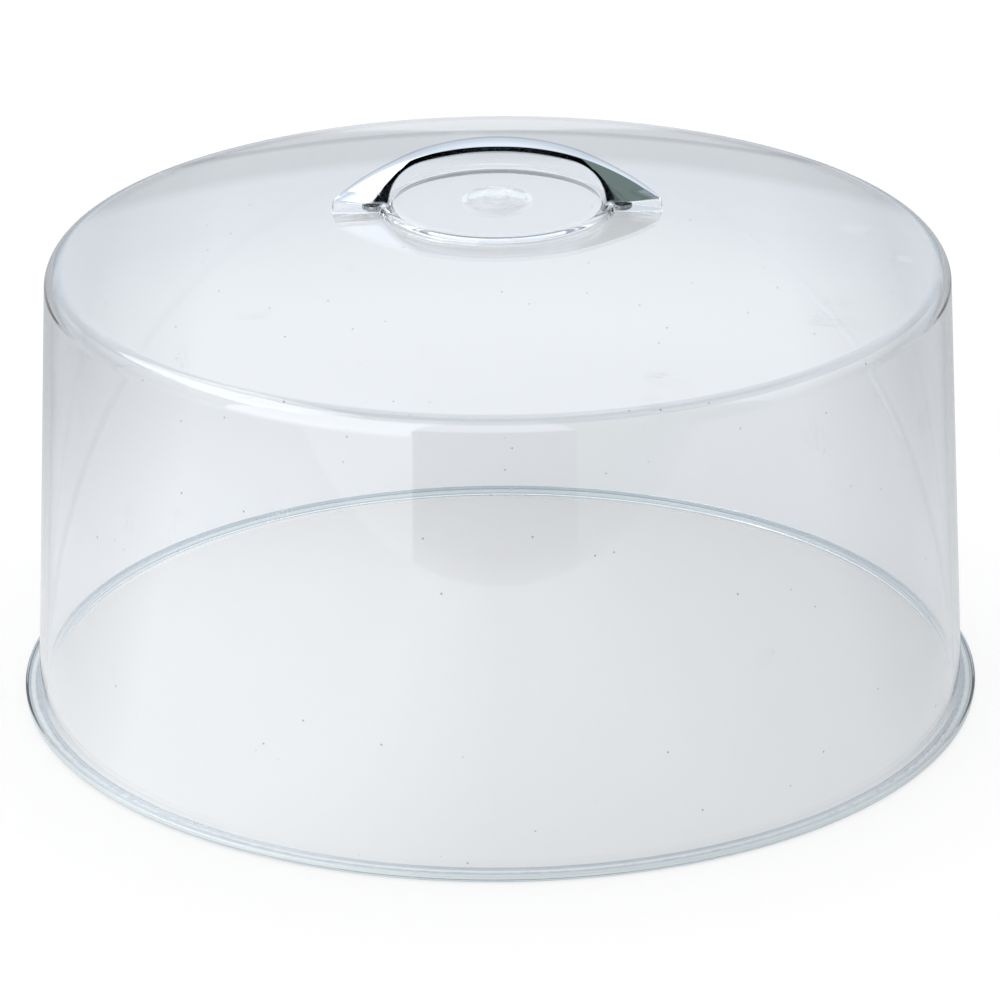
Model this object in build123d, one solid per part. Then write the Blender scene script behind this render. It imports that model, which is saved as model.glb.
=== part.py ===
"""Round clear cake cover with a fixed bow handle, held by two screws from below.

Millimetres, +Z up. The origin is the centre of the rim's underside, and the handle runs along X.
Each piece is one solid, written to parts/NODE.step.
"""
from build123d import *
from math import cos, hypot, radians, sin, sqrt, tan
import os

# ---- cover: a one-piece moulding
rim_radius = 152.4          # outside of the flange: the cover is nominally 12 inches across
rim_height = 2.7            # thickness of the flange
rim_overhang = 4.3          # how far the flange stands out from the foot of the wall
rim_lower_round = 1.3       # rounding of the flange's lower outer edge
rim_upper_round = 1.0       # rounding of the flange's upper outer edge
wall = 2.6                  # thickness of the wall and the crown
wall_draft = 2.9            # degrees that the wall leans in
shoulder_height = 141.5     # where the wall's line would meet the crown's arc
crown_rise = 17.5           # from there to the crown's highest point
shoulder_round = 7.0        # outside rounding between the wall and the crown

# ---- pad: a raised disc in the middle of the crown, with two ears that carry the handle's feet
pad_radius = 36.3           # at the foot of its side
pad_rise = 1.4              # its flat top above the crown's highest point
pad_draft = 15.0            # degrees that its side leans in
pad_edge_round = 1.6        # rounding of its top edge
pad_hollow_round = 0.5      # rounding inside, where the pad's hollow underside meets its roof
ear_margin = 0.8            # how far an ear stands out around the handle's foot
ear_draft = 4.0             # degrees that an ear's side leans in
ear_roof = 1.1              # plastic left in an ear between the handle's foot and a screw's head
pocket_clearance = 0.2      # radial gap of a screw's head in its pocket

# ---- gate mark: where the plastic entered the mould
gate_radius = 9.4           # low round boss in the middle of the pad
gate_rise = 1.7
gate_draft = 15.0           # degrees that its side leans in
gate_round = 0.5            # rounding of its top edge
dimple_radius = 4.3         # shallow round hollow in the boss
dimple_depth = 1.2

# ---- handle: a die-cast bow
handle_length = 100.4       # tip to tip
handle_height = 19.4        # from its flat feet to the top of the bow
handle_mid_thickness = 2.7  # thickness of the bow at mid-span
handle_mid_width = 10.0     # across the bow at mid-span
handle_leg_width = 6.8      # across a leg at the screw
handle_tip_width = 1.4      # across a tip
handle_tip_height = 0.8     # height of the blunt tip
foot_length = 16.6          # from a tip to the inside of its leg, at the foot
facet_offset = 1.5          # from the screw's axis out to where a leg's side turns to the tip
facet_round = 20.0          # rounding of that turn
arch_lean = 9.0             # degrees that the inside of a leg leans in
leg_straight = 2.2          # height of the inside of a leg below the arch's rounded corner
arch_corner_reach = 11.6    # from the inside of a foot in to about where that corner ends
arch_corner_thickness = 2.5  # upright thickness of the bow there
arch_edge_round = 0.7       # rounding of the arch's long edges
bow_edge_round = 0.35       # rounding of the bow's upper long edges

# ---- screws: pan head machine screws
screw_inset = 12.1          # from a handle's tip in to its screw's axis
thread_diameter = 3.5
head_diameter = 6.9
head_height = 2.0
head_round = 1.1            # rounding of the head's edge
engagement = 5.25           # how far a screw reaches into the handle
bore_past_screw = 0.8       # free depth of the handle's bore past the screw's end
hole_clearance = 0.35       # radial gap of a screw in the cover
thread_gap = 0.04           # radial gap of a screw in the handle's bore
point_chamfer = 0.5         # chamfer at the screw's end
slot_width = 0.9            # of the cross recess
slot_length = 3.8
slot_depth = 1.3
slot_taper = 8.0            # degrees that the recess narrows by


def arc_radius(half_chord, rise):
    """Radius of the arc that rises by this much over half its chord."""
    return (half_chord**2 + rise**2) / (2 * rise)


# ---- heights and places that follow from these
wall_foot_radius = rim_radius - rim_overhang
wall_slope = tan(radians(wall_draft))
shoulder_corner_radius = wall_foot_radius - shoulder_height * wall_slope
crown_radius = arc_radius(shoulder_corner_radius, crown_rise)
crown_top = shoulder_height + crown_rise
crown_centre = crown_top - crown_radius
pad_top = crown_top + pad_rise
bow_radius = arc_radius(handle_length / 2, handle_height - handle_tip_height)
arch_top = handle_height - handle_mid_thickness
arch_half_span = handle_length / 2 - foot_length
screw_x = handle_length / 2 - screw_inset
screw_places = [(-screw_x, 0), (screw_x, 0)]
pocket_radius = head_diameter / 2 + pocket_clearance
seat_height = pad_top - ear_roof    # where a screw's head bears


def crown_height(radius, inset=0):
    """Height of the crown's face, or of the face set in under it, at a distance from the axis."""
    return crown_centre + sqrt((crown_radius - inset) ** 2 - radius**2)


def bow_height(x):
    """Height of the bow's outer arc above the handle's feet."""
    return handle_height - bow_radius + sqrt(bow_radius**2 - x**2)


arch_corner_x = arch_half_span - arch_corner_reach
arch_top_radius = arc_radius(arch_corner_x, arch_top - bow_height(arch_corner_x) + arch_corner_thickness)


def full_circles(solid):
    """The closed edges of a solid, lowest first."""
    return solid.edges().filter_by(lambda edge: edge.is_closed).sort_by(Axis.Z)


def drafted_disc(foot_radius, foot_z, top_z, draft, sunk, edge_round):
    """A disc whose side leans in from its foot, carried on down below the foot by sunk, with a rounded top."""
    lean = tan(radians(draft))
    top_radius = foot_radius - (top_z - foot_z) * lean
    height = top_z - foot_z + sunk
    above = (Align.CENTER, Align.CENTER, Align.MIN)
    disc = Pos(0, 0, foot_z - sunk) * Cone(foot_radius + sunk * lean, top_radius, height, align=above)
    return fillet(full_circles(disc)[-1], edge_round)


def handle_plan():
    """The handle seen from above: widest at mid-span, narrower at the legs, then out to the tips."""
    tip = handle_length / 2
    leg = screw_x + facet_offset
    half_leg = handle_leg_width / 2
    half_tip = handle_tip_width / 2
    front = Polyline((-tip, 0), (-tip, -half_tip), (-leg, -half_leg))
    front += ThreePointArc((-leg, -half_leg), (0, -handle_mid_width / 2), (leg, -half_leg))
    front += Polyline((leg, -half_leg), (tip, -half_tip), (tip, 0), (-tip, 0))
    half = make_face(front)
    plan = half + mirror(half, Plane.XZ)
    turns = plan.vertices().filter_by(lambda vertex: abs(abs(vertex.X) - leg) < half_tip)
    return fillet(turns, facet_round)


def domed_body(inset):
    """The leaning wall and the shallow crown as one solid body, set in from the outside."""
    foot = wall_foot_radius - inset / cos(radians(wall_draft))
    top_radius = crown_radius - inset
    # the corner: the wall's line, foot - wall_slope * z, meets the crown's arc
    a = 1 + wall_slope**2
    b = foot * wall_slope + crown_centre
    c = foot**2 + crown_centre**2 - top_radius**2
    corner_z = (b + sqrt(b**2 - a * c)) / a
    corner = (foot - wall_slope * corner_z, corner_z)
    top = (0, crown_centre + top_radius)
    outline = Line((0, 0), (foot, 0)) + Line((foot, 0), corner)
    outline += RadiusArc(corner, top, -top_radius) + Line(top, (0, 0))
    body = revolve(Plane.XZ * make_face(outline), Axis.Z)
    return fillet(full_circles(body)[-1], shoulder_round - inset)


def cover_shell():
    flange = extrude(Circle(rim_radius), rim_height)
    flange = fillet(full_circles(flange)[0], rim_lower_round)
    flange = fillet(full_circles(flange)[-1], rim_upper_round)

    # the pad is hollow underneath, so that it is no thicker than the crown around it
    pad_foot = crown_height(pad_radius)
    pad = drafted_disc(pad_radius, pad_foot, pad_top, pad_draft, wall / 2, pad_edge_round)
    hollow = drafted_disc(pad_radius - wall, pad_foot - wall, pad_top - wall, pad_draft, wall, pad_hollow_round)

    # the ears follow the handle's feet, and reach down into the crown at their tips
    ear_foot = crown_height(handle_length / 2 + ear_margin) - wall / 2
    ear_spread = (pad_top - ear_foot) * tan(radians(ear_draft))
    ear_outline = offset(handle_plan(), ear_margin + ear_spread)
    ears = extrude(Pos(0, 0, ear_foot) * ear_outline, pad_top - ear_foot, taper=ear_draft)

    gate_top = pad_top + gate_rise
    gate = drafted_disc(gate_radius, pad_top, gate_top, gate_draft, wall / 2, gate_round)
    dimple = Pos(0, 0, gate_top - dimple_depth) * extrude(Circle(dimple_radius), dimple_depth)

    body = domed_body(0) + flange + pad + ears + gate - domed_body(wall) - hollow - dimple
    for x, y in screw_places:
        body -= Pos(x, y) * extrude(Circle(thread_diameter / 2 + hole_clearance), pad_top)
        body -= Pos(x, y) * extrude(Circle(pocket_radius), seat_height)
    return body


def on_bow(point):
    """Whether a point of the handle, before it is seated, lies on the bow's outer arc."""
    return abs(hypot(point.X, point.Z - handle_height + bow_radius) - bow_radius) < 1e-4


def arch():
    """The opening under the bow, seen from the side: straight legs, round corners and a long flat arc."""
    centre = Vector(0, arch_top - arch_top_radius)
    lean = radians(arch_lean)
    low = Vector(arch_half_span - leg_straight * tan(lean), leg_straight)
    inward = Vector(-cos(lean), -sin(lean))
    # the corner's circle touches the leg at this low point, and the long arc from inside
    out = low - centre
    corner_radius = (arch_top_radius**2 - out.dot(out)) / (2 * (arch_top_radius + out.dot(inward)))
    corner = low + inward * corner_radius
    outward = (corner - centre).normalized()
    high = centre + outward * arch_top_radius
    middle = corner + (outward - inward).normalized() * corner_radius
    right = Line((arch_half_span, 0), low) + ThreePointArc(low, middle, high)
    top = ThreePointArc(high, (0, arch_top), (-high.X, high.Y))
    return make_face(right + top + mirror(right, Plane.YZ) + Line((-arch_half_span, 0), (arch_half_span, 0)))


def handle():
    tip = handle_length / 2
    # seen from the side: an outer arc from tip to tip over flat feet, less the arch
    bow = ThreePointArc((-tip, handle_tip_height), (0, handle_height), (tip, handle_tip_height))
    feet = Polyline((tip, handle_tip_height), (tip, 0), (-tip, 0), (-tip, handle_tip_height))
    side = Plane.XZ * (make_face(bow + feet) - arch())

    body = extrude(side, handle_mid_width, both=True) & extrude(handle_plan(), handle_height)

    # the long edges: those around the arch, and those along the top of the bow
    curved = body.edges().filter_by(lambda edge: edge.geom_type != GeomType.LINE and (edge @ 0.5).Z > 0)
    under = curved.filter_by(lambda edge: (edge @ 0.5).Z < (arch_top + handle_height) / 2)
    under = under.filter_by(lambda edge: abs((edge @ 0.5).X) < arch_half_span)
    body = fillet(under, arch_edge_round)
    above = body.edges().filter_by(lambda edge: on_bow(edge @ 0.25) and on_bow(edge @ 0.75))
    body = fillet(above, bow_edge_round)

    bore_radius = thread_diameter / 2 + thread_gap
    bores = [Pos(x, y) * extrude(Circle(bore_radius), engagement + bore_past_screw) for x, y in screw_places]
    return Pos(0, 0, pad_top) * (body - bores)


def screw(x, y):
    """A pan head machine screw, driven up through the pad into the handle."""
    head = Pos(0, 0, -head_height) * extrude(Circle(head_diameter / 2), head_height)
    head = fillet(full_circles(head)[0], head_round)
    shank = extrude(Circle(thread_diameter / 2), ear_roof + engagement)
    shank = chamfer(full_circles(shank)[-1], point_chamfer)
    cross = Rectangle(slot_length, slot_width) + Rectangle(slot_width, slot_length)
    recess = Pos(0, 0, -head_height) * extrude(cross, slot_depth, taper=slot_taper)
    return Pos(x, y, seat_height) * (head + shank - recess)


if __name__ == "__main__":
    os.makedirs("parts", exist_ok=True)
    pieces = {"cover_shell": cover_shell(), "handle": handle()}
    for side, place in zip(("left", "right"), screw_places):
        pieces["screw_" + side] = screw(*place)
    for node, solid in pieces.items():
        export_step(solid, f"parts/{node}.step")
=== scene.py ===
"""Clear cake cover with a fixed chromed bow handle, dressed around its CAD frame.

Run as a script: every piece is built by its own operator, in mesh code, with node materials.
Metres, +Z up; the cover stands on z = 0 and its handle runs along X.
"""
from math import atan2, cos, hypot, pi, radians, sin, sqrt, tan

import bpy
import numpy as np
from bpy.props import FloatProperty, PointerProperty, StringProperty
from mathutils import Matrix, Vector


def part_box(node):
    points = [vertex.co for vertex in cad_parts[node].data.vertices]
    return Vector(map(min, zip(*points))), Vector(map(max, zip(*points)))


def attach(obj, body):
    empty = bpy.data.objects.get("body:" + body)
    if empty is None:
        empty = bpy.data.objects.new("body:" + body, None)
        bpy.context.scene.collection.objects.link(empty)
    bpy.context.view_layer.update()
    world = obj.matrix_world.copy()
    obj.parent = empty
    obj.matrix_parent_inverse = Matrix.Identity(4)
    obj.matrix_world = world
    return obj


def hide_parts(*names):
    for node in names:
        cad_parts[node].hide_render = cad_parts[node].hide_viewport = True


bl_info = {
    "name": "Cake Cover",
    "version": (1, 0, 0),
    "blender": (4, 5, 0),
    "location": "View3D > Sidebar > Cake Cover",
    "description": "Builds a clear cake cover with a chromed bow handle",
    "category": "Object",
}

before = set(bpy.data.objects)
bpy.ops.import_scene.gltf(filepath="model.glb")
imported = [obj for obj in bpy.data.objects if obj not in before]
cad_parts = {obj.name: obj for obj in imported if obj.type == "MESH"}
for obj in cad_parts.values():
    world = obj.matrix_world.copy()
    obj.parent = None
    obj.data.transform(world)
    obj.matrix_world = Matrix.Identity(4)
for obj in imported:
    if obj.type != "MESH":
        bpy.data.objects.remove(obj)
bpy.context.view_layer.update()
SHELL_LOW, SHELL_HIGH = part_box("cover_shell")
HANDLE_LOW, HANDLE_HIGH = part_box("handle")
SCREW_LOW, SCREW_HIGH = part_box("screw_right")
SCREW_X = (SCREW_LOW.x + SCREW_HIGH.x) / 2

MM = 0.001
TURN = 2 * pi
BLACK, WHITE = (0, 0, 0, 1), (1, 1, 1, 1)

# the handle's plan narrows in a straight facet, from the middle of each leg to the blunt tip
LEG_X = 39.6 * MM
LEG_HALF_WIDTH = 3.4 * MM
TIP_HALF_WIDTH = 0.7 * MM
# how far the sides of the moulded top lean
PAD_DRAFT = radians(15)
EAR_DRAFT = radians(4)
# the stage: how far in front the upright cards stand, and the camera's place and tilt, in radians
CARDS_Y = -0.43
CAMERA_PLACE = (0.27 * MM, -1496.27 * MM, 679.89 * MM)
CAMERA_PITCH = 0.3931
CAMERA_ROLL = -0.0066


# ---------------------------------------------------------------- settings

def length(name, description, default):
    return FloatProperty(name=name, description=description, default=default, unit="LENGTH", subtype="DISTANCE")


def angle(name, description, degrees):
    return FloatProperty(
        name=name, description=description, default=radians(degrees), unit="ROTATION", subtype="ANGLE")


def colour(name, description, default):
    return StringProperty(name=name, description=description + ", as an sRGB hex value", default=default)


class CAKECOVER_PG_cover(bpy.types.PropertyGroup):
    rim_radius: length("Rim radius", "Outside of the flange", SHELL_HIGH.x)
    rim_height: length("Rim height", "Thickness of the flange", 2.7 * MM)
    rim_overhang: length("Rim overhang", "How far the flange stands out from the wall", 4.3 * MM)
    wall: length("Wall", "Thickness of the wall and the crown", 2.6 * MM)
    draft: angle("Draft", "How far the wall leans in", 2.9)
    shoulder_height: length("Shoulder height", "Where the wall's line meets the crown", 141.5 * MM)
    crown_rise: length("Crown rise", "From there to the top of the crown", 17.5 * MM)
    shoulder_round: length("Shoulder rounding", "Outside rounding of the shoulder", 7.0 * MM)
    pad_radius: length("Pad radius", "Round pad in the middle of the crown", 36.3 * MM)
    pad_rise: length("Pad rise", "Height of the pad over the crown's top", 1.4 * MM)
    gate_radius: length("Gate radius", "Round gate mark in the middle of the pad", 9.4 * MM)
    gate_rise: length("Gate rise", "Height of the gate mark over the pad", 1.7 * MM)
    ear_margin: length("Ear margin", "How far the ears stand out round the handle's feet", 1.05 * MM)
    tint: colour("Tint", "Colour of the clear acrylic", "#F8FAFC")


class CAKECOVER_PG_handle(bpy.types.PropertyGroup):
    height: length("Height", "From the feet to the top of the bow", HANDLE_HIGH.z - HANDLE_LOW.z)
    half_length: length("Half length", "From the middle to a tip", HANDLE_HIGH.x)
    mid_thickness: length("Thickness", "Of the bow at mid-span", 2.7 * MM)
    mid_width: length("Width", "Across the bow at mid-span", HANDLE_HIGH.y - HANDLE_LOW.y)
    foot_length: length("Foot length", "From a tip to the inside of its leg", 16.6 * MM)
    tip_height: length("Tip height", "Of the blunt tips", 0.8 * MM)
    leg_lean: angle("Leg lean", "How far the inside of each leg leans", 9.0)
    plate: colour("Plate", "Colour of the chrome plate", "#BEC4CB")


class CAKECOVER_PG_screws(bpy.types.PropertyGroup):
    thread_diameter: length("Thread", "Outside of the thread", 3.5 * MM)
    thread_pitch: length("Pitch", "From one turn of the thread to the next", 0.794 * MM)
    thread_depth: length("Thread depth", "From its outside to its root", 0.42 * MM)
    head_diameter: length("Head", "Across the pan head", SCREW_HIGH.x - SCREW_LOW.x)
    head_height: length("Head height", "Of the pan head", 2.0 * MM)
    zinc: colour("Zinc", "Colour of the zinc plate", "#AEB4B6")


class CAKECOVER_PG_stage(bpy.types.PropertyGroup):
    floor_colour: colour("Floor", "Colour of the floor", "#A2A2A2")
    lens: FloatProperty(name="Lens", description="Focal length of the camera", default=183.5, unit="CAMERA")


# ---------------------------------------------------------------- mesh helpers

def make_mesh(name, points, faces, sharp_degrees=38.0):
    """A smooth-shaded mesh object from arrays of points and face corners."""
    mesh = bpy.data.meshes.new(name)
    mesh.from_pydata([tuple(p) for p in points], [], [tuple(f) for f in faces])
    mesh.validate()
    mesh.shade_smooth()
    mesh.set_sharp_from_angle(angle=radians(sharp_degrees))
    piece = bpy.data.objects.new(name, mesh)
    bpy.context.scene.collection.objects.link(piece)
    return piece


def loop_grid(rings):
    """Quads between rings of points, (rings, columns, 3); each ring is closed on itself."""
    count, columns = rings.shape[:2]
    faces = []
    for k in range(count - 1):
        for j in range(columns):
            n = (j + 1) % columns
            faces.append((k * columns + j, k * columns + n, (k + 1) * columns + n, (k + 1) * columns + j))
    return faces


def capped_grid(rings):
    """Rings closed at both ends by a fan around a pole, as (points, faces)."""
    count, columns = rings.shape[:2]
    points = rings.reshape(-1, 3)
    first, last = rings[0].mean(0), rings[-1].mean(0)
    faces = loop_grid(rings)
    start, end = len(points), len(points) + 1
    base = (count - 1) * columns
    for j in range(columns):
        n = (j + 1) % columns
        faces.append((start, n, j))
        faces.append((end, base + j, base + n))
    return np.vstack([points, first, last]), faces


def rounded(before, corner, after, radius, steps=6):
    """Points of an arc that rounds a corner, for plain points or for arrays of them."""
    before, corner, after = (np.asarray(v, float) for v in (before, corner, after))
    a, b = before - corner, after - corner
    a = a / np.linalg.norm(a, axis=-1, keepdims=True)
    b = b / np.linalg.norm(b, axis=-1, keepdims=True)
    half = np.arccos(np.clip((a * b).sum(-1, keepdims=True), -1, 1)) / 2
    reach = radius / np.tan(half)
    middle = a + b
    middle = middle / np.linalg.norm(middle, axis=-1, keepdims=True)
    centre = corner + middle * radius / np.sin(half)
    start, end = corner + a * reach, corner + b * reach
    sweep = pi - 2 * half
    u, v = start - centre, end - centre
    out = []
    for t in np.linspace(0, 1, steps + 1):
        out.append(centre + (np.sin((1 - t) * sweep) * u + np.sin(t * sweep) * v) / np.sin(sweep))
    return out


def cut_away(piece, cutters):
    """Takes the cutters out of a piece for good."""
    for cutter in cutters:
        step = piece.modifiers.new("cut", "BOOLEAN")
        step.operation = "DIFFERENCE"
        step.solver = "EXACT"
        step.object = cutter
    bpy.context.view_layer.update()
    evaluated = piece.evaluated_get(bpy.context.evaluated_depsgraph_get())
    result = bpy.data.meshes.new_from_object(evaluated)
    result.name = piece.name
    piece.modifiers.clear()
    piece.data = result
    piece.data.shade_smooth()
    piece.data.set_sharp_from_angle(angle=radians(38))
    for cutter in cutters:
        bpy.data.objects.remove(cutter)
    return piece


def disc_cutter(x, radius, low, high, columns=48):
    """A round cutter around an upright axis."""
    turn = np.arange(columns) * TURN / columns
    ring = np.stack([x + radius * np.cos(turn), radius * np.sin(turn), np.zeros(columns)], 1)
    rings = np.stack([ring + (0, 0, high), ring + (0, 0, low)])
    return make_mesh("cutter", *capped_grid(rings))


# ---------------------------------------------------------------- material helpers

def linear(hex_colour):
    """An sRGB hex colour as a linear RGBA value."""
    values = [int(hex_colour[i:i + 2], 16) / 255 for i in (1, 3, 5)]
    return [v / 12.92 if v <= 0.04045 else ((v + 0.055) / 1.055) ** 2.4 for v in values] + [1.0]


def bright(hex_colour, level):
    """An sRGB hex colour at a brightness, as a linear RGBA value, for light above plain white."""
    return [level * v for v in linear(hex_colour)[:3]] + [1.0]


def grey(level):
    return (level, level, level, 1)


def add_node(tree, kind, settings=None, inputs=None):
    """One node, with its settings, and its inputs set to a value or linked to another node's output."""
    node = tree.nodes.new("ShaderNode" + kind)
    for key, value in (settings or {}).items():
        setattr(node, key, value)
    for key, value in (inputs or {}).items():
        if isinstance(value, bpy.types.NodeSocket):
            tree.links.new(value, node.inputs[key])
        else:
            node.inputs[key].default_value = value
    return node


def calculate(tree, operation, first, second=0.0):
    """A math node's result."""
    return add_node(tree, "Math", {"operation": operation}, {0: first, 1: second}).outputs[0]


def mix_colours(tree, share, first, second):
    """The first colour where the share is 0, the second where it is 1."""
    return add_node(tree, "Mix", {"data_type": "RGBA"}, {0: share, 6: first, 7: second}).outputs[2]


def colour_ramp(tree, value, stops):
    """A ramp over a value, through pairs of a place and a colour."""
    node = add_node(tree, "ValToRGB", inputs={"Fac": value})
    elements = node.color_ramp.elements
    for element, (at, tone) in zip((elements[0], elements[1]), (stops[0], stops[-1])):
        element.position, element.color = at, tone
    for at, tone in stops[1:-1]:
        elements.new(at).color = tone
    return node.outputs[0]


def new_material(name):
    material = bpy.data.materials.new(name)
    material.use_nodes = True
    material.node_tree.nodes.clear()
    return material, material.node_tree


def finish_material(tree, shader):
    add_node(tree, "OutputMaterial", inputs={"Surface": shader.outputs[0]})


def clear_moulded_acrylic(tint):
    """Clear acrylic, injection moulded in polished steel: glass-like, with hair scratches, a few dust specks, and
    painted shade bands on the flange.
    """
    material, tree = new_material("clear_moulded_acrylic")
    place = add_node(tree, "TexCoord").outputs["Object"]
    axes = add_node(tree, "SeparateXYZ", inputs={0: place}).outputs
    level = add_node(tree, "VectorMath", {"operation": "MULTIPLY"}, {0: place, 1: (1, 1, 0)})
    radius = add_node(tree, "VectorMath", {"operation": "LENGTH"}, {0: level.outputs[0]}).outputs["Value"]

    # hair scratches from wiping: long thin ridges, about 0.15 mm wide and centimetres long
    stretched = add_node(tree, "Mapping", inputs={
        "Vector": place, "Rotation": (0.5, 0.3, 0.9), "Scale": (9.0, 160.0, 30.0)})
    wander = add_node(tree, "TexNoise", inputs={"Vector": stretched.outputs[0], "Scale": 6.0, "Detail": 2.0})
    hairs = colour_ramp(tree, wander.outputs["Fac"], ((0.496, BLACK), (0.5, WHITE), (0.504, BLACK)))
    where = add_node(tree, "TexNoise", inputs={"Vector": place, "Scale": 38.0, "Detail": 1.0})
    sparse = add_node(tree, "MapRange", inputs={"Value": where.outputs["Fac"], "From Min": 0.68, "From Max": 0.76})
    scratch = calculate(tree, "MULTIPLY", hairs, sparse.outputs[0])
    # dust specks, under half a millimetre across and centimetres apart
    dust = add_node(tree, "TexVoronoi", inputs={"Vector": place, "Scale": 95.0, "Randomness": 1.0})
    speck = add_node(tree, "MapRange", inputs={
        "Value": dust.outputs["Distance"], "From Min": 0.018, "From Max": 0.04, "To Min": 1.0, "To Max": 0.0})
    height = calculate(tree, "MAXIMUM", scratch, speck.outputs[0])
    relief = add_node(tree, "Bump", inputs={"Height": height, "Strength": 0.35, "Distance": 0.05 * MM})
    rough = add_node(tree, "MapRange", inputs={"Value": height, "To Min": 0.0, "To Max": 0.15})

    # seen edge on, the flange shows the deeper blue grey of the plastic; its darkest bands, at the wall's foot and
    # at its edge, are painted shade for the dark lines and contact shadow round the rim
    clear, foot, middle, edge, lip, end = (
        linear(tone) for tone in (tint, "#AAB8C4", "#E2ECF0", "#B5C2CB", "#CEDDE2", "#CBDADF"))
    across = add_node(tree, "MapRange", inputs={"Value": radius, "From Min": 146.8 * MM, "From Max": 152.4 * MM})
    # the ramp: clear, then painted shade at the wall's foot, paler blue grey, then painted shade again towards the
    # edge
    depth = colour_ramp(tree, across.outputs[0], (
        (0.14, clear), (0.2, foot), (0.37, foot), (0.46, middle), (0.6, middle),
        (0.71, edge), (0.86, edge), (0.9, lip), (1.0, end)))
    flange_tint_and_painted_shade = calculate(tree, "LESS_THAN", axes["Z"], 3.2 * MM)
    plastic = mix_colours(tree, flange_tint_and_painted_shade, clear, depth)
    dusty = mix_colours(tree, speck.outputs[0], plastic, linear("#89898B"))
    shader = add_node(tree, "BsdfPrincipled", inputs={
        "Base Color": dusty, "Roughness": rough.outputs[0], "IOR": 1.49, "Transmission Weight": 1.0,
        "Normal": relief.outputs[0]})

    # light that runs round inside the pad, the ears and the crown behind them leaks out, which keeps them pale
    paths = add_node(tree, "LightPath").outputs
    turned = calculate(tree, "GREATER_THAN", paths["Glossy Depth"], 2.5)
    on_pad = calculate(tree, "LESS_THAN", radius, 40 * MM)
    beside_handle = calculate(tree, "LESS_THAN", calculate(tree, "ABSOLUTE", axes["Y"]), 14 * MM)
    on_ears = calculate(tree, "MULTIPLY", beside_handle, calculate(tree, "LESS_THAN", radius, 56 * MM))
    behind_handle = calculate(tree, "GREATER_THAN", axes["Y"], -8 * MM)
    on_crown = calculate(tree, "MULTIPLY", behind_handle, calculate(tree, "LESS_THAN", radius, 134 * MM))
    thick = calculate(tree, "MAXIMUM", calculate(tree, "MAXIMUM", on_pad, on_ears), on_crown)
    guided = calculate(tree, "MULTIPLY", turned, thick)
    # the gate mark is softly moulded, so part of the light goes straight through it
    soft = calculate(tree, "MULTIPLY", calculate(tree, "LESS_THAN", radius, 11 * MM), 0.5)
    share = calculate(tree, "MAXIMUM", guided, soft)
    # the leaking light is filtered a little darker in front of the handle than behind it: painted shade
    back = add_node(tree, "MapRange", inputs={"Value": axes["Y"], "From Min": -5 * MM, "From Max": 5 * MM})
    leak = add_node(tree, "BsdfTransparent", inputs={
        "Color": mix_colours(tree, back.outputs[0], linear("#F5F5F6"), linear("#FAFBFC"))})
    finish_material(tree, add_node(tree, "MixShader", inputs={
        0: share, 1: shader.outputs[0], 2: leak.outputs[0]}))
    return material


def chromed_die_cast_zinc(plate):
    """Bright chrome plate over polished die-cast zinc: a mirror with the faint waves and pits of the casting."""
    material, tree = new_material("chromed_die_cast_zinc")
    place = add_node(tree, "TexCoord").outputs["Object"]
    # polishing leaves waves some 6 mm long and a few microns high
    waves = add_node(tree, "TexNoise", inputs={"Vector": place, "Scale": 170.0, "Detail": 2.0, "Roughness": 0.4})
    pits = add_node(tree, "TexVoronoi", inputs={"Vector": place, "Scale": 420.0})
    pit = add_node(tree, "MapRange", inputs={
        "Value": pits.outputs["Distance"], "From Min": 0.02, "From Max": 0.08, "To Min": -0.4, "To Max": 0.0})
    height = calculate(tree, "ADD", waves.outputs["Fac"], pit.outputs[0])
    relief = add_node(tree, "Bump", inputs={"Height": height, "Strength": 0.25, "Distance": 0.03 * MM})
    haze = add_node(tree, "TexNoise", inputs={"Vector": place, "Scale": 900.0, "Detail": 3.0})
    rough = add_node(tree, "MapRange", inputs={"Value": haze.outputs["Fac"], "To Min": 0.02, "To Max": 0.07})
    shader = add_node(tree, "BsdfPrincipled", inputs={
        "Base Color": linear(plate), "Metallic": 1.0, "Roughness": rough.outputs[0], "Normal": relief.outputs[0]})
    finish_material(tree, shader)
    return material


def zinc_plated_steel(zinc):
    """Cold-headed steel, zinc plated: a bright grey metal, slightly clouded and finely turned."""
    material, tree = new_material("zinc_plated_steel")
    place = add_node(tree, "TexCoord").outputs["Object"]
    cloud = add_node(tree, "TexNoise", inputs={"Vector": place, "Scale": 700.0, "Detail": 4.0})
    shade = colour_ramp(tree, cloud.outputs["Fac"], ((0, bright(zinc, 0.6)), (1, linear(zinc))))
    grain = add_node(tree, "TexNoise", inputs={"Vector": place, "Scale": 4000.0, "Detail": 3.0})
    rough = add_node(tree, "MapRange", inputs={"Value": grain.outputs["Fac"], "To Min": 0.12, "To Max": 0.38})
    relief = add_node(tree, "Bump", inputs={"Height": grain.outputs["Fac"], "Strength": 0.2, "Distance": 0.02 * MM})
    shader = add_node(tree, "BsdfPrincipled", inputs={
        "Base Color": shade, "Metallic": 1.0, "Roughness": rough.outputs[0], "Normal": relief.outputs[0]})
    finish_material(tree, shader)
    return material


# ---------------------------------------------------------------- the cover

def arc_radius(half_chord, rise):
    """The radius of an arc, from half its chord and its rise."""
    return (half_chord ** 2 + rise ** 2) / (2 * rise)


def plan_half_width(handle, x):
    """Half the width of the handle's plan before its facets."""
    side_radius = arc_radius(LEG_X, handle.mid_width / 2 - LEG_HALF_WIDTH)
    return handle.mid_width / 2 - side_radius + sqrt(side_radius ** 2 - x ** 2)


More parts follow.
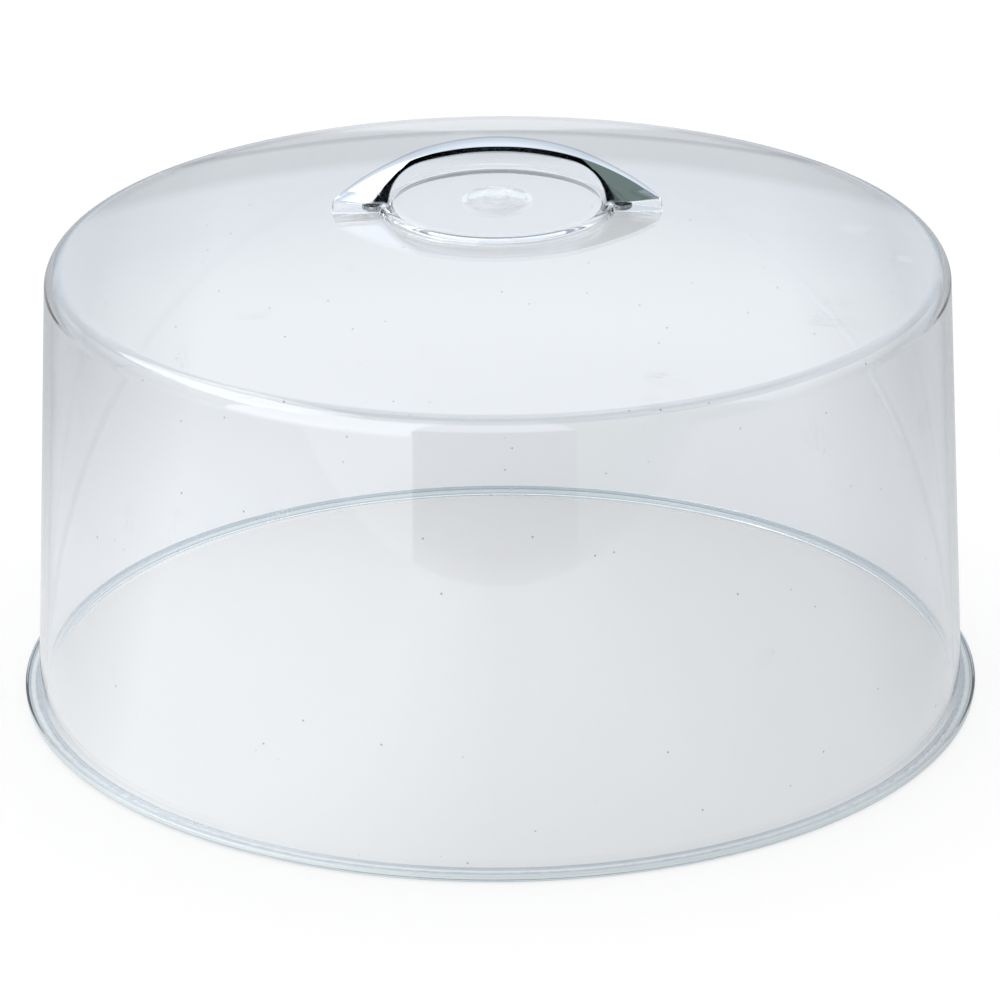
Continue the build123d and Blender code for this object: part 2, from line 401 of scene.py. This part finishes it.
def ear_outline(handle, margin):
    """Half of the outline of a handle's foot, grown by a margin: points from over the pad out to the tip, y > 0."""
    points = [(x, plan_half_width(handle, x) + margin) for x in np.linspace(30 * MM, 39.2 * MM, 12)]
    leg, tip = Vector((LEG_X, LEG_HALF_WIDTH)), Vector((handle.half_length, TIP_HALF_WIDTH))
    side = (tip - leg).normalized()
    out = Vector((-side.y, side.x))
    points += [tuple(leg.lerp(tip, t) + out * margin) for t in np.linspace(0.05, 1, 16)]
    first = atan2(out.y, out.x)
    for t in np.linspace(0, 1, 7)[1:]:
        a = first * (1 - t)
        points.append((tip.x + margin * cos(a), tip.y + margin * sin(a)))
    points.append((tip.x + margin, tip.y * 0.5))
    return np.array(points)


def pad_plan(cover, handle):
    """The pad's outline with its two ears, once round: points, outward normals, and how far each is on an ear."""
    ear = ear_outline(handle, cover.ear_margin)
    clear_of_disc = cover.pad_radius + 0.3 * MM
    ear = ear[next(i for i, p in enumerate(ear) if hypot(*p) > clear_of_disc):]
    start = atan2(ear[0][1], ear[0][0]) + radians(1.2)
    disc = [(cover.pad_radius * cos(a), cover.pad_radius * sin(a)) for a in np.linspace(start, pi / 2, 76)]
    quarter = np.vstack([[(ear[-1][0], 0)], ear[::-1], disc])
    weight = np.concatenate([np.ones(len(ear) + 1), np.zeros(len(disc))])
    # round the hollow corner where an ear leaves the disc, by local smoothing
    corner = len(ear)
    for _ in range(4):
        q = quarter.copy()
        for i in range(corner - 2, corner + 3):
            quarter[i] = q[i] * 0.5 + (q[i - 1] + q[i + 1]) * 0.25
    for i in range(corner - 4, corner + 5):
        weight[i] = np.clip((corner + 4 - i) / 8, 0, 1)
    second = quarter[::-1] * (-1, 1)
    upper = np.vstack([quarter, second[1:]])
    upper_w = np.concatenate([weight, weight[::-1][1:]])
    lower = upper[::-1] * (1, -1)
    plan = np.vstack([upper, lower[1:-1]])
    weight = np.concatenate([upper_w, upper_w[::-1][1:-1]])
    along = np.roll(plan, -1, 0) - np.roll(plan, 1, 0)
    normal = np.stack([along[:, 1], -along[:, 0]], 1)
    normal /= np.linalg.norm(normal, axis=1, keepdims=True)
    return plan, normal, weight


def build_cover(cover, handle, screws):
    """One skin of rings: from the gate mark out over the pad and the crown, down the wall, and back up inside."""
    slope = tan(cover.draft)
    wall_foot = cover.rim_radius - cover.rim_overhang
    corner_radius = wall_foot - cover.shoulder_height * slope
    crown_radius = arc_radius(corner_radius, cover.crown_rise)
    crown_top = cover.shoulder_height + cover.crown_rise
    crown_centre = crown_top - crown_radius
    pad_top = crown_top + cover.pad_rise

    plan, normal, ear = pad_plan(cover, handle)
    turn = np.arctan2(plan[:, 1], plan[:, 0])
    spoke = np.stack([np.cos(turn), np.sin(turn)], 1)
    columns = len(plan)
    rings = []

    def ring(radius, z):
        radius = np.broadcast_to(radius, columns)
        z = np.broadcast_to(z, columns)
        rings.append(np.column_stack([spoke * radius[:, None], z]))

    def profile(points):
        for r, z in points:
            ring(r, z)

    def crown(r, inset=0.0):
        return crown_centre + np.sqrt((crown_radius - inset) ** 2 - r ** 2)

    # gate mark, from the middle out
    gate_top = pad_top + cover.gate_rise
    dimple, dimple_floor = 4.3 * MM, gate_top - 1.2 * MM
    gate_side = cover.gate_rise * tan(PAD_DRAFT)
    path = [(0.4 * MM, dimple_floor), (dimple * 0.5, dimple_floor)]
    path += rounded((0, dimple_floor), (dimple, dimple_floor), (dimple, gate_top), 0.3 * MM)
    path += rounded((dimple, dimple_floor), (dimple, gate_top), (9 * MM, gate_top), 0.3 * MM)
    top_edge = (cover.gate_radius - gate_side, gate_top)
    gate_foot = (cover.gate_radius, pad_top)
    path += rounded((dimple, gate_top), top_edge, gate_foot, 0.7 * MM)
    path += rounded(top_edge, gate_foot, (30 * MM, pad_top), 0.4 * MM)
    path += [(10.6 * MM, pad_top), (12 * MM, pad_top)]
    profile(path)

    # the flat top of pad and ears, out to the rounded edge
    foot_z = crown(np.linalg.norm(plan, axis=1))
    rise = pad_top - foot_z
    lean = np.tan(PAD_DRAFT * (1 - ear) + EAR_DRAFT * ear)
    edge_round = (1.8 * (1 - ear) + 0.4 * ear) * MM

    def side_point(inset, z):
        """Section across the edge: inset is measured inwards from the outline."""
        return np.column_stack([plan - normal * inset[:, None], z])

    inset_top = rise * lean
    flat = np.zeros(columns)
    before = np.column_stack([inset_top + 3 * MM, flat + pad_top])
    corner = np.column_stack([inset_top, flat + pad_top])
    foot = np.column_stack([flat, foot_z])
    arc = rounded(before, corner, foot, edge_round[:, None], 8)
    first = side_point(arc[0][:, 0] + 0.05 * MM, arc[0][:, 1])
    start = rings[-1].copy()
    for t in (0.2, 0.4, 0.6, 0.8, 0.92, 1.0):
        rings.append(start * (1 - t) + first * t)
    for a in arc:
        rings.append(side_point(a[:, 0], a[:, 1]))
    # the side's foot, with a small hollow rounding, then the crown
    out = np.column_stack([flat - 1.0 * MM, crown(np.linalg.norm(plan + normal * 1.0 * MM, axis=1))])
    for a in rounded(corner, foot, out, 0.35 * MM, 5):
        rings.append(side_point(a[:, 0], a[:, 1]))
    reach = np.linalg.norm(rings[-1][:, :2], axis=1)

    # shoulder and wall, as one outline
    def shoulder(inset, radius, steps):
        """The rounded corner between the wall and the crown: its centre is one radius in from both."""
        foot_line = wall_foot - (inset + radius) / cos(cover.draft)
        ball = crown_radius - inset - radius
        a = 1 + slope ** 2
        b = foot_line * slope + crown_centre
        c = foot_line ** 2 + crown_centre ** 2 - ball ** 2
        z = (b + sqrt(b ** 2 - a * c)) / a
        r = foot_line - slope * z
        start = atan2(z - crown_centre, r)
        end = cover.draft
        return [(r + radius * cos(t), z + radius * sin(t)) for t in np.linspace(start, end, steps)]

    outer = shoulder(0, cover.shoulder_round, 18)
    edge = outer[0][0]
    for t in (0.004, 0.012, 0.03, 0.07, 0.13, 0.2, 0.3, 0.4, 0.5, 0.6, 0.7, 0.8, 0.88, 0.94, 0.98, 0.995):
        r = reach + (edge - reach) * t
        ring(r, crown(r))
    profile(outer)
    for z in np.linspace(outer[-1][1] - 0.4 * MM, 12 * MM, 22):
        ring(wall_foot - slope * z, z)
    # the flange, over its edge to the flat ring that the cover stands on
    stand_outside, stand_inside = 149 * MM, 146.4 * MM
    junction = (wall_foot - slope * cover.rim_height, cover.rim_height)
    rim_top, rim_foot = (cover.rim_radius, cover.rim_height), (cover.rim_radius, 0)
    path = [(wall_foot - slope * z, z) for z in (8 * MM, 5 * MM, 4 * MM)]
    path += rounded(path[-1], junction, rim_top, 0.5 * MM, 5)
    path += rounded(junction, rim_top, rim_foot, 0.75 * MM, 7)
    path += rounded(rim_top, rim_foot, (0, 0), 1.9 * MM, 9)
    path += [(stand_outside, 0), (stand_inside, 0)]
    # the inside of the wall and the shoulder
    inner_foot = wall_foot - cover.wall / cos(cover.draft)
    inner = shoulder(cover.wall, cover.shoulder_round - cover.wall, 14)
    path += rounded((stand_outside, 0), (inner_foot, 0), (inner_foot - slope * 9 * MM, 9 * MM), 0.25 * MM, 4)
    path += [(inner_foot - slope * z, z) for z in (0.4 * MM, 1 * MM, 3 * MM)]
    path += [(inner_foot - slope * z, z) for z in np.linspace(6 * MM, inner[-1][1] - 0.4 * MM, 22)]
    path += inner[::-1]
    profile(path)
    for r in (138, 134, 128, 120, 110, 98, 86, 74, 62, 52, 44, 39, 36):
        ring(r * MM, crown(r * MM, cover.wall))
    # the hollow under the pad
    roof = pad_top - cover.wall
    mouth = (cover.pad_radius - cover.wall, crown(cover.pad_radius, 0) - cover.wall)
    inside = (mouth[0] - (roof - mouth[1]) * tan(PAD_DRAFT), roof)
    profile(rounded((36 * MM, crown(36 * MM, cover.wall)), mouth, inside, 0.3 * MM, 4))
    profile(rounded(mouth, inside, (0, roof), 1.0 * MM, 8))
    for r in (30, 26, 20, 14, 8, 3):
        ring(r * MM, roof)

    shell = make_mesh("clear_cover", *capped_grid(np.array(rings)))
    # holes for the screws, each with a round pocket for its head
    hole, pocket = 2.1 * MM, 3.65 * MM
    seat = SCREW_LOW.z + screws.head_height
    cutters = []
    for x in (-SCREW_X, SCREW_X):
        cutters.append(disc_cutter(x, hole, seat - 1 * MM, pad_top + 2 * MM))
        cutters.append(disc_cutter(x, pocket, seat - 7 * MM, seat))
    return cut_away(shell, cutters)


# ---------------------------------------------------------------- the handle

def build_handle(handle):
    """A cast bow: slanted sections from the arch, round the legs, out to the blunt tips."""
    tip, height = handle.half_length, handle.height
    bow = arc_radius(tip, height - handle.tip_height)
    span = tip - handle.foot_length

    def bow_z(x):
        return height - bow + sqrt(bow ** 2 - x ** 2)

    # the opening's flat arch, which is nearest to the bow's top where it turns down into the legs
    arch_top = height - handle.mid_thickness
    corner_x, corner_thickness = span - 11.6 * MM, 2.5 * MM
    arch = arc_radius(corner_x, arch_top - bow_z(corner_x) + corner_thickness)
    arch_centre = arch_top - arch
    # the corner circle touches the leg at a low point, and the arch from inside
    lean, touch_z = handle.leg_lean, 2.2 * MM
    inward = Vector((-cos(lean), -sin(lean)))
    touch = Vector((span - touch_z * tan(lean), touch_z))
    out = touch - Vector((0, arch_centre))
    radius = (arch ** 2 - out.dot(out)) / (2 * (arch + out.dot(inward)))
    centre = touch + inward * radius
    start = atan2(centre.y - arch_centre, centre.x)
    long_arc = [(arch * sin(u), arch_centre + arch * cos(u)) for u in np.linspace(0, pi / 2 - start, 60)]
    corner = [(centre.x + radius * cos(u), centre.y + radius * sin(u)) for u in np.linspace(start, -lean, 50)[1:]]
    leg_top = Vector(corner[-1])
    leg = [tuple(leg_top.lerp(Vector((span, 0)), u)) for u in np.linspace(0, 1, 10)[1:]]
    inner = np.array(long_arc + corner + leg)
    # matching points on the bow's outer arc
    walked = np.concatenate([[0], np.cumsum(np.linalg.norm(np.diff(inner, axis=0), axis=1))])
    share = walked / walked[-1]
    reach = 41.0 * MM
    outer = np.array([(x, bow_z(x)) for x in reach * share])
    foot_x = np.linspace(span, tip, 46)[1:]
    foot = np.column_stack([foot_x, np.zeros_like(foot_x)])
    end_x = reach + (tip - reach) * np.linspace(0, 1, 46)[1:]
    end_x[-1] = tip
    cap = np.array([(x, bow_z(x)) for x in end_x])
    low = np.vstack([inner, foot])
    high = np.vstack([outer, cap])
    crease_x, side_lean = 41.2 * MM, radians(2.5)

    def half_width(x, z):
        """Half the plan's width, with the facet out to the tip; the sides lean in upwards."""
        crease = crease_x - z
        side, start = plan_half_width(handle, x), plan_half_width(handle, crease)
        narrowing = 0.285 - 0.12 * min(1, z / (4 * MM))
        facet = start - (x - crease) * narrowing
        soft = 0.05 * MM
        plan = -soft * np.log(np.exp(-side / soft) + np.exp(-facet / soft))
        leaning = z * tan(side_lean) * min(1, x / (30 * MM))
        return max(plan - leaning, 0.35 * MM)

    along_arch = len(inner)
    rings = []
    for i, (a, b) in enumerate(zip(low, high)):
        thick = max(np.linalg.norm(b - a), 1e-6)
        on_leg = min(1.0, (i / along_arch) ** 3)
        if i < along_arch:
            # the leg's front is rounded towards the arch, widest at the foot
            wide = min((0.7 + 0.55 * on_leg) * MM, thick * 0.6)
            deep = (0.3 + 0.25 * on_leg) * MM
        else:
            wide = deep = min(0.25 * MM, thick * 0.3)
        top_round, top_width = min(0.18 * MM, thick * 0.3), min(0.3 * MM, thick * 0.4)

        def spot(p):
            return a + (b - a) * (p / thick)

        section = []
        for u in np.linspace(0, pi / 2, 12):
            p = wide * (1 - cos(u))
            x, z = spot(p)
            section.append((p, half_width(x, z) - deep * (1 - sin(u))))
        for u in np.linspace(0, 1, 8)[1:-1]:
            p = wide + (thick - top_round - wide) * u
            section.append((p, half_width(*spot(p))))
        for u in np.linspace(0, pi / 2, 7):
            p = thick - top_round * (1 - sin(u))
            section.append((p, half_width(*spot(p)) - top_width * (1 - cos(u))))
        # the top is slightly crowned across
        y_edge = section[-1][1]
        crown = min(0.42 * MM, thick * 0.2)
        section = [(p - crown * max(0, p / thick) ** 4, y) for p, y in section]
        half = [(0.0, section[0][1] * u) for u in (0.0, 0.35, 0.7, 0.93)] + section
        half += [(thick - crown * u * u, y_edge * u) for u in (0.95, 0.8, 0.6, 0.4, 0.2, 0.0)]
        full = half + [(p, -y) for p, y in half[1:-1][::-1]]
        rings.append([(spot(p)[0], y, spot(p)[1]) for p, y in full])
    right = np.array(rings)
    left = right[::-1][:-1] * (-1, 1, 1)
    rings = np.vstack([left, right])
    rings[:, :, 2] += HANDLE_LOW.z
    points, faces = capped_grid(rings)
    # the walk goes from -X to +X, so faces turn outwards when reversed
    return make_mesh("bow_handle", points, [tuple(reversed(f)) for f in faces], 50)


# ---------------------------------------------------------------- the screws

def build_screw(name, x, screws):
    """A pan head machine screw, head down, with a rolled thread and a cross recess."""
    seat = SCREW_LOW.z + screws.head_height
    end = SCREW_HIGH.z
    columns = 64
    turn = np.arange(columns) * TURN / columns
    spoke = np.stack([np.cos(turn), np.sin(turn)], 1)
    rings = []

    def ring(r, z):
        rings.append(np.column_stack([spoke * np.broadcast_to(r, columns)[:, None], np.broadcast_to(z, columns)]))

    head = screws.head_diameter / 2
    bottom = SCREW_LOW.z
    ring(0.6 * MM, bottom)
    ring(1.4 * MM, bottom)
    for r, z in rounded((0, bottom), (head, bottom), (head, seat), 1.1 * MM, 10):
        ring(r, z)
    for r, z in rounded((head, bottom), (head, seat), (0, seat), 0.15 * MM, 4):
        ring(r, z)
    crest = screws.thread_diameter / 2
    root = crest - screws.thread_depth
    ring(crest, seat)
    ring(root, seat + 0.12 * MM)
    step = screws.thread_pitch / 14
    z = seat + 0.25 * MM
    while z < end - 0.55 * MM:
        phase = (z / screws.thread_pitch - turn / TURN) % 1.0
        flank = np.clip(1 - np.abs(phase - 0.5) * 2.25, 0, 0.88) / 0.88
        fade = min(1.0, (z - seat - 0.25 * MM) / (0.6 * MM))
        ring(root + (crest - root) * flank * fade, z)
        z += step
    ring(root, end - 0.45 * MM)
    ring(root - 0.3 * MM, end - 0.02 * MM)
    ring(root - 0.34 * MM, end)
    ring(0.4 * MM, end)
    points, faces = capped_grid(np.array(rings))
    points = points + (x, 0, 0)
    screw = make_mesh(name, points, [tuple(reversed(f)) for f in faces], 30)
    # the cross recess narrows upwards
    cutters = []
    for across in (False, True):
        half, wide = 1.9 * MM, 0.45 * MM
        low_z, high_z = bottom - 0.2 * MM, bottom + 1.3 * MM
        box = []
        for z, f in ((low_z, 1.06), (high_z, 0.55)):
            for sx, sy in ((-1, -1), (1, -1), (1, 1), (-1, 1)):
                px, py = sx * half * f, sy * wide * (f * 0.5 + 0.5)
                box.append((x + (py if across else px), px if across else py, z))
        faces = [(0, 3, 2, 1), (4, 5, 6, 7), (0, 1, 5, 4), (1, 2, 6, 5), (2, 3, 7, 6), (3, 0, 4, 7)]
        if across:
            faces = [tuple(reversed(f)) for f in faces]
        cutters.append(make_mesh("cutter", box, faces, 30))
    return cut_away(screw, cutters)


# ---------------------------------------------------------------- operators

def dress(piece, material, slot, *nodes):
    piece.data.materials.clear()
    piece.data.materials.append(material)
    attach(piece, "root")
    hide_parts(*nodes)


class CAKECOVER_OT_cover(bpy.types.Operator):
    """Build the clear cover"""
    bl_idname = "cakecover.cover"
    bl_label = "Cover"

    def execute(self, context):
        scene = context.scene
        shell = build_cover(scene.cakecover_cover, scene.cakecover_handle, scene.cakecover_screws)
        dress(shell, clear_moulded_acrylic(scene.cakecover_cover.tint), "clear_acrylic", "cover_shell")
        return {"FINISHED"}


class CAKECOVER_OT_handle(bpy.types.Operator):
    """Build the chromed bow handle"""
    bl_idname = "cakecover.handle"
    bl_label = "Handle"

    def execute(self, context):
        settings = context.scene.cakecover_handle
        dress(build_handle(settings), chromed_die_cast_zinc(settings.plate), "chromed_zinc", "handle")
        return {"FINISHED"}


class CAKECOVER_OT_screws(bpy.types.Operator):
    """Build the two screws"""
    bl_idname = "cakecover.screws"
    bl_label = "Screws"

    def execute(self, context):
        settings = context.scene.cakecover_screws
        material = zinc_plated_steel(settings.zinc)
        for side, x in (("left", -SCREW_X), ("right", SCREW_X)):
            screw = build_screw("pan_head_screw_" + side, x, settings)
            dress(screw, material, "zinc_plated_steel", "screw_" + side)
        return {"FINISHED"}


class CAKECOVER_OT_stage(bpy.types.Operator):
    """Set up the floor, the light and the camera"""
    bl_idname = "cakecover.stage"
    bl_label = "Stage"

    def execute(self, context):
        scene = context.scene
        scene.view_settings.view_transform = "Standard"
        build_stage(scene.cakecover_stage)
        return {"FINISHED"}


def card(name, left, right, height, low, high, rise):
    """An upright card in front that only mirror reflections see: one colour at its foot, another above its rise."""
    corners = [(left, CARDS_Y, 0), (right, CARDS_Y, 0), (right, CARDS_Y, height), (left, CARDS_Y, height)]
    return reflector(name, corners, low, high, rise)


def reflector(name, corners, low, high, rise):
    """A glowing sheet that only mirror reflections see, with its colour changing upwards between two heights."""
    piece = make_mesh(name, corners, [(0, 1, 2, 3)])
    material, tree = new_material(name)
    place = add_node(tree, "TexCoord").outputs["Object"]
    height = add_node(tree, "SeparateXYZ", inputs={0: place}).outputs["Z"]
    share = add_node(tree, "MapRange", inputs={"Value": height, "From Min": rise[0], "From Max": rise[1]})
    glow = add_node(tree, "Emission", inputs={"Color": mix_colours(tree, share.outputs[0], low, high)})
    clear = add_node(tree, "BsdfTransparent")
    paths = add_node(tree, "LightPath").outputs
    mirrored = calculate(tree, "GREATER_THAN", paths["Glossy Depth"], 0.5)
    finish_material(tree, add_node(tree, "MixShader", inputs={0: mirrored, 1: clear.outputs[0], 2: glow.outputs[0]}))
    piece.data.materials.append(material)
    piece.visible_camera = False
    piece.visible_diffuse = False
    piece.visible_shadow = False


def build_stage(stage):
    """The floor, the light, the cards that the plastic and the metal mirror, and the camera."""
    build_floor(stage)
    build_world()
    # in front, from left to right: a white reflector, the dark room round the camera, and a grey wall
    end, dark_from, dark_to, top = 0.9, -0.136, 0.122, 1.2
    card("white_reflector", -end, dark_from, top, bright("#FAFCFF", 1.2), bright("#FBFDFF", 2.7), (0.03, 0.11))
    card("dark_room", dark_from, dark_to, 0.25, linear("#BCBCBC"), BLACK, (0.0, 0.012))
    card("grey_wall", dark_to, end, top, linear("#BCBFC2"), linear("#95A49B"), (0.0, 0.03))
    # a softbox high on the left
    reflector("softbox", [(-0.9, -0.45, 0.75), (-0.9, 0.5, 0.75), (-0.45, 0.5, 1.15), (-0.45, -0.45, 1.15)],
              grey(5.0), grey(5.0), (0.0, 1.0))
    build_camera(stage)


def build_floor(stage):
    """Pale paper: white to the camera, and greyer, most so at the sides, to light from the plastic or the metal: a
    painted pool of light round the cover.
    """
    floor = make_mesh("floor", [(-8, -8, 0), (8, -8, 0), (8, 8, 0), (-8, 8, 0)], [(0, 1, 2, 3)])
    material, tree = new_material("floor")
    paths = add_node(tree, "LightPath").outputs
    sheet = add_node(tree, "BsdfDiffuse", inputs={"Color": linear(stage.floor_colour)})
    place = add_node(tree, "SeparateXYZ", inputs={0: add_node(tree, "TexCoord").outputs["Object"]}).outputs
    # the painted glow falls off to both sides, more so at the back, and then into the distance
    across = add_node(tree, "MapRange", inputs={"Value": place["X"], "From Min": -0.3, "From Max": 0.3}).outputs[0]
    near = colour_ramp(tree, across, [(at, grey(level)) for at, level in (
        (0, 0.3), (0.18, 0.42), (0.25, 0.55), (0.31, 0.73), (0.4, 0.67), (0.5, 0.57),
        (0.6, 0.54), (0.69, 0.52), (0.74, 0.42), (0.83, 0.3), (1, 0.25))])
    back = colour_ramp(tree, across, [(at, grey(level)) for at, level in (
        (0, 0.15), (0.18, 0.2), (0.22, 0.25), (0.25, 0.37), (0.31, 0.52), (0.5, 0.51),
        (0.69, 0.48), (0.75, 0.32), (0.78, 0.18), (1, 0.15))])
    smooth = {"interpolation_type": "SMOOTHSTEP"}
    behind = add_node(tree, "MapRange", smooth, {"Value": place["Y"], "From Min": 0.05, "From Max": 0.3})
    far = add_node(tree, "MapRange", smooth, {
        "Value": place["Y"], "From Min": 0.3, "From Max": 0.6, "To Min": 1.0, "To Max": 0.65})
    fall = calculate(tree, "MULTIPLY", far.outputs[0], mix_colours(tree, behind.outputs[0], near, back))
    seen = add_node(tree, "MapRange", inputs={"Value": paths["Is Camera Ray"], "To Min": fall, "To Max": 0.68})
    glow = add_node(tree, "Emission", inputs={"Strength": seen.outputs[0]})
    finish_material(tree, add_node(tree, "AddShader", inputs={0: sheet.outputs[0], 1: glow.outputs[0]}))
    floor.data.materials.append(material)


def build_world():
    """Plain white light from all round. Mirror reflections see a sky that brightens upwards from the horizon."""
    world = bpy.data.worlds.new("studio")
    bpy.context.scene.world = world
    world.use_nodes = True
    tree = world.node_tree
    tree.nodes.clear()
    paths = add_node(tree, "LightPath").outputs
    towards = add_node(tree, "SeparateXYZ", inputs={0: add_node(tree, "TexCoord").outputs["Generated"]}).outputs
    sky = colour_ramp(tree, towards["Z"], (
        (0.0, bright("#F1F8FF", 0.51)), (0.02, bright("#F4F9FF", 0.75)), (0.12, bright("#F4F9FF", 0.75)),
        (0.17, bright("#F0F6FF", 1.07)), (0.33, bright("#F0F7FF", 1.2)), (0.6, bright("#F5F9FF", 1.65)),
        (1.0, bright("#F9FCFF", 1.8))))
    mirrored = calculate(tree, "GREATER_THAN", paths["Glossy Depth"], 0.5)
    tone = mix_colours(tree, mirrored, WHITE, sky)
    # straight through the plastic there is a greyer room, lighter on the left
    across = add_node(tree, "MapRange", inputs={"Value": towards["X"], "From Min": -0.7, "From Max": 0.0})
    room = mix_colours(tree, across.outputs[0], linear("#F3F6F8"), linear("#CED4DA"))
    through = calculate(tree, "GREATER_THAN", paths["Transmission Depth"], 0.5)
    straight = calculate(tree, "LESS_THAN", paths["Diffuse Depth"], 0.5)
    plain = calculate(tree, "LESS_THAN", paths["Glossy Depth"], 0.5)
    clear = calculate(tree, "MULTIPLY", through, calculate(tree, "MULTIPLY", straight, plain))
    # light that was mirrored inside the plastic is a little weaker
    inner = calculate(tree, "MULTIPLY", through, mirrored)
    level = add_node(tree, "MapRange", inputs={"Value": inner, "To Min": 1.0, "To Max": 0.75})
    glow = add_node(tree, "Background", inputs={
        "Color": mix_colours(tree, clear, tone, room), "Strength": level.outputs[0]})
    add_node(tree, "OutputWorld", inputs={"Surface": glow.outputs[0]})


def build_camera(stage):
    """The camera in front of the cover, looking down at it, rolled a little."""
    camera = bpy.data.objects.new("camera", bpy.data.cameras.new("camera"))
    bpy.context.scene.collection.objects.link(camera)
    camera.data.lens = stage.lens
    camera.data.sensor_width = 36
    camera.data.clip_end = 50
    camera.location = CAMERA_PLACE
    turned = Matrix.Rotation(pi / 2 - CAMERA_PITCH, 3, "X") @ Matrix.Rotation(CAMERA_ROLL, 3, "Z")
    camera.rotation_euler = turned.to_euler()
    bpy.context.scene.camera = camera


class CAKECOVER_PT_panel(bpy.types.Panel):
    """Lists the operators that build the cover"""
    bl_idname = "CAKECOVER_PT_panel"
    bl_label = "Cake Cover"
    bl_space_type = "VIEW_3D"
    bl_region_type = "UI"
    bl_category = "Cake Cover"

    def draw(self, context):
        for operator in OPERATORS:
            self.layout.operator(operator.bl_idname)
        for name in GROUPS:
            group = getattr(context.scene, name)
            box = self.layout.box()
            for key in group.__annotations__:
                box.prop(group, key)


GROUPS = {
    "cakecover_cover": CAKECOVER_PG_cover,
    "cakecover_handle": CAKECOVER_PG_handle,
    "cakecover_screws": CAKECOVER_PG_screws,
    "cakecover_stage": CAKECOVER_PG_stage,
}
OPERATORS = (CAKECOVER_OT_cover, CAKECOVER_OT_handle, CAKECOVER_OT_screws, CAKECOVER_OT_stage)


def register():
    for kind in (*GROUPS.values(), *OPERATORS, CAKECOVER_PT_panel):
        bpy.utils.register_class(kind)
    for name, group in GROUPS.items():
        setattr(bpy.types.Scene, name, PointerProperty(type=group))


def unregister():
    for name in GROUPS:
        delattr(bpy.types.Scene, name)
    for kind in reversed((*GROUPS.values(), *OPERATORS, CAKECOVER_PT_panel)):
        bpy.utils.unregister_class(kind)


def main():
    register()
    bpy.ops.cakecover.cover()
    bpy.ops.cakecover.handle()
    bpy.ops.cakecover.screws()
    bpy.ops.cakecover.stage()


if __name__ == "__main__":
    main()
